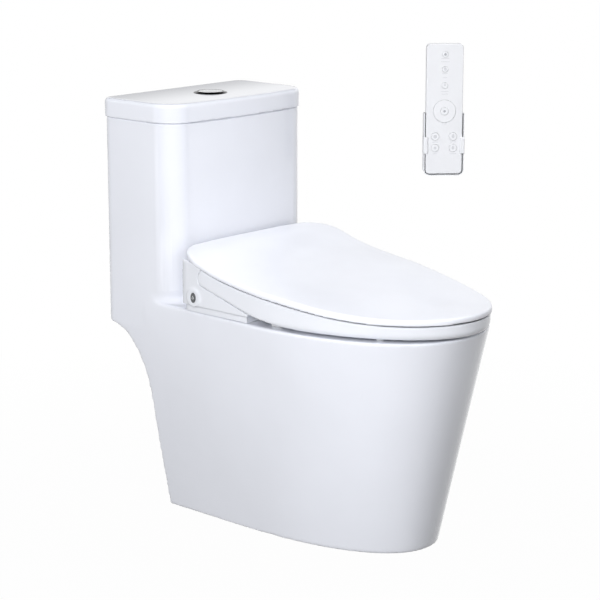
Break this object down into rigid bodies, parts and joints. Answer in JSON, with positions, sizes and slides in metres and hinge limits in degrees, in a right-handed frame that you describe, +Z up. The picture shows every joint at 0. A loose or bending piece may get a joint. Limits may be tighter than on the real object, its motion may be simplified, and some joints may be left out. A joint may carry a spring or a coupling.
{
  "type": "smart toilet with heated seat",
  "caption": "One-piece skirted toilet with a dual flush tank, an electric heated bidet seat with a hinged cover and wash nozzle, and a remote control in a wall cradle.",
  "frame": {"origin": "centre of the floor outlet, at floor level", "axes": "+Z up, -Y towards the user in front of the bowl, +X to the right of someone who faces the toilet"},
  "size_m": [0.602, 0.7155, 0.8215],
  "materials": {
    "china": "glossy fired glaze, cool white",
    "seat_plastic": "glossy moulded white plastic",
    "housing_plastic": "satin moulded white plastic",
    "valve_plastic": "plain moulded plastic",
    "float_plastic": "plain moulded plastic",
    "adapter_plastic": "plain moulded plastic",
    "chrome": "bright chrome plate",
    "steel": "plain stainless steel",
    "rubber": "soft black rubber",
    "clear_rubber": "soft translucent pads",
    "foil": "thin heater foil",
    "board": "lacquered circuit board",
    "remote_plastic": "satin white plastic",
    "key_plastic": "satin white plastic",
    "ring_grey": "dark grey plastic"
  },
  "bodies": {
    "toilet": {"tank_casting": "china", "bowl_casting": "china", "skirt_casting": "china", "trapway_casting": "china", "flush_channel": "china", "outlet_adapter": "adapter_plastic", "outlet_seal": "rubber", "floor_screws": "steel", "flush_valve_base": "valve_plastic", "flush_valve_body": "valve_plastic", "overflow_tube": "valve_plastic", "fill_valve_body": "valve_plastic", "fill_valve_cap": "valve_plastic", "fill_valve_nut": "valve_plastic", "refill_tube": "valve_plastic", "mounting_plate": "valve_plastic", "plate_bolts": "valve_plastic", "plate_nuts": "valve_plastic", "wall_cradle": "remote_plastic", "cradle_liner": "ring_grey"},
    "lid_of_tank": {"tank_lid": "china", "button_bezel": "chrome", "bezel_nut": "valve_plastic"},
    "full_button": {"full_flush_button": "chrome", "full_flush_rod": "valve_plastic"},
    "half_button": {"half_flush_button": "chrome", "half_flush_rod": "valve_plastic"},
    "full_lever": {"full_flush_lever": "valve_plastic"},
    "half_lever": {"half_flush_lever": "valve_plastic"},
    "lifter": {"valve_lifter": "valve_plastic", "valve_seal": "rubber"},
    "float": {"fill_float": "float_plastic"},
    "bidet_unit": {"housing_base": "housing_plastic", "housing_cover": "housing_plastic", "hinge_pins": "steel", "nozzle_guide": "valve_plastic", "water_heater": "valve_plastic", "inlet_valve": "valve_plastic", "circuit_board": "board", "side_button_ring": "ring_grey"},
    "seat": {"seat_upper": "seat_plastic", "seat_lower": "seat_plastic", "seat_heater": "foil", "seat_buffers": "clear_rubber"},
    "cover": {"seat_lid": "seat_plastic", "lid_buffers": "clear_rubber"},
    "nozzle": {"wash_nozzle": "steel"},
    "knob": {"side_button": "ring_grey"},
    "remote": {"remote_front": "remote_plastic", "remote_back": "remote_plastic", "battery_door": "remote_plastic"},
    "ring_key_body": {"ring_key": "key_plastic"},
    "centre_key_body": {"centre_key": "key_plastic"},
    "upper_key_1_body": {"upper_key_1": "key_plastic"},
    "upper_key_2_body": {"upper_key_2": "key_plastic"},
    "upper_key_3_body": {"upper_key_3": "key_plastic"},
    "lower_key_1_body": {"lower_key_1": "key_plastic"},
    "lower_key_2_body": {"lower_key_2": "key_plastic"},
    "lower_key_3_body": {"lower_key_3": "key_plastic"},
    "lower_key_4_body": {"lower_key_4": "key_plastic"}
  },
  "joints": [
    {"name": "tank_lid_lift", "type": "slide", "parent": "toilet", "child": "lid_of_tank", "axis": [0, 0, 1], "range_m": [0, 0.06]},
    {"name": "full_flush_press", "type": "slide", "parent": "lid_of_tank", "child": "full_button", "axis": [0, 0, 1], "range_m": [-0.006, 0], "stiffness_N_per_m": 600, "springref_m": 0.002},
    {"name": "half_flush_press", "type": "slide", "parent": "lid_of_tank", "child": "half_button", "axis": [0, 0, 1], "range_m": [-0.006, 0], "stiffness_N_per_m": 600, "springref_m": 0.002},
    {"name": "full_lever_tilt", "type": "hinge", "parent": "toilet", "child": "full_lever", "pos_m": [0.0105, 0.18, 0.66], "axis": [-1, 0, 0], "range_deg": [0, 25.5]},
    {"name": "half_lever_tilt", "type": "hinge", "parent": "toilet", "child": "half_lever", "pos_m": [-0.0105, 0.18, 0.66], "axis": [-1, 0, 0], "range_deg": [0, 25.5]},
    {"name": "valve_lift", "type": "slide", "parent": "toilet", "child": "lifter", "axis": [0, 0, 1], "range_m": [0, 0.0102]},
    {"name": "float_rise", "type": "slide", "parent": "toilet", "child": "float", "axis": [0, 0, 1], "range_m": [0, 0.06]},
    {"name": "unit_release", "type": "slide", "parent": "toilet", "child": "bidet_unit", "axis": [0, -1, 0], "range_m": [0, 0.035]},
    {"name": "seat_hinge", "type": "hinge", "parent": "bidet_unit", "child": "seat", "pos_m": [0, 0.079, 0.482], "axis": [-1, 0, 0], "range_deg": [0, 100]},
    {"name": "lid_hinge", "type": "hinge", "parent": "seat", "child": "cover", "pos_m": [0, 0.079, 0.482], "axis": [1, 0, 0], "range_deg": [-100, 0]},
    {"name": "nozzle_slide", "type": "slide", "parent": "bidet_unit", "child": "nozzle", "axis": [0, -0.9397, -0.342], "range_m": [0, 0.088]},
    {"name": "side_button_press", "type": "slide", "parent": "bidet_unit", "child": "knob", "axis": [1, 0, 0], "range_m": [0, 0.002], "stiffness_N_per_m": 500, "springref_m": -0.002},
    {"name": "remote_lift", "type": "slide", "parent": "toilet", "child": "remote", "axis": [0, 0, 1], "range_m": [0, 0.1]},
    {"name": "ring_key_press", "type": "slide", "parent": "remote", "child": "ring_key_body", "axis": [0.7071, 0.7071, 0], "range_m": [0, 0.001], "stiffness_N_per_m": 400, "springref_m": -0.001},
    {"name": "centre_key_press", "type": "slide", "parent": "remote", "child": "centre_key_body", "axis": [0.7071, 0.7071, 0], "range_m": [0, 0.001], "stiffness_N_per_m": 400, "springref_m": -0.001},
    {"name": "upper_key_1_press", "type": "slide", "parent": "remote", "child": "upper_key_1_body", "axis": [0.7071, 0.7071, 0], "range_m": [0, 0.001], "stiffness_N_per_m": 400, "springref_m": -0.001},
    {"name": "upper_key_2_press", "type": "slide", "parent": "remote", "child": "upper_key_2_body", "axis": [0.7071, 0.7071, 0], "range_m": [0, 0.001], "stiffness_N_per_m": 400, "springref_m": -0.001},
    {"name": "upper_key_3_press", "type": "slide", "parent": "remote", "child": "upper_key_3_body", "axis": [0.7071, 0.7071, 0], "range_m": [0, 0.001], "stiffness_N_per_m": 400, "springref_m": -0.001},
    {"name": "lower_key_1_press", "type": "slide", "parent": "remote", "child": "lower_key_1_body", "axis": [0.7071, 0.7071, 0], "range_m": [0, 0.001], "stiffness_N_per_m": 400, "springref_m": -0.001},
    {"name": "lower_key_2_press", "type": "slide", "parent": "remote", "child": "lower_key_2_body", "axis": [0.7071, 0.7071, 0], "range_m": [0, 0.001], "stiffness_N_per_m": 400, "springref_m": -0.001},
    {"name": "lower_key_3_press", "type": "slide", "parent": "remote", "child": "lower_key_3_body", "axis": [0.7071, 0.7071, 0], "range_m": [0, 0.001], "stiffness_N_per_m": 400, "springref_m": -0.001},
    {"name": "lower_key_4_press", "type": "slide", "parent": "remote", "child": "lower_key_4_body", "axis": [0.7071, 0.7071, 0], "range_m": [0, 0.001], "stiffness_N_per_m": 400, "springref_m": -0.001}
  ],
  "couplings": [
    {"joint": "full_lever_tilt", "follows": "full_flush_press", "rad_per_m": -74.176},
    {"joint": "half_lever_tilt", "follows": "half_flush_press", "rad_per_m": -74.176},
    {"joint": "valve_lift", "follows": "full_flush_press", "ratio": -1.7}
  ]
}
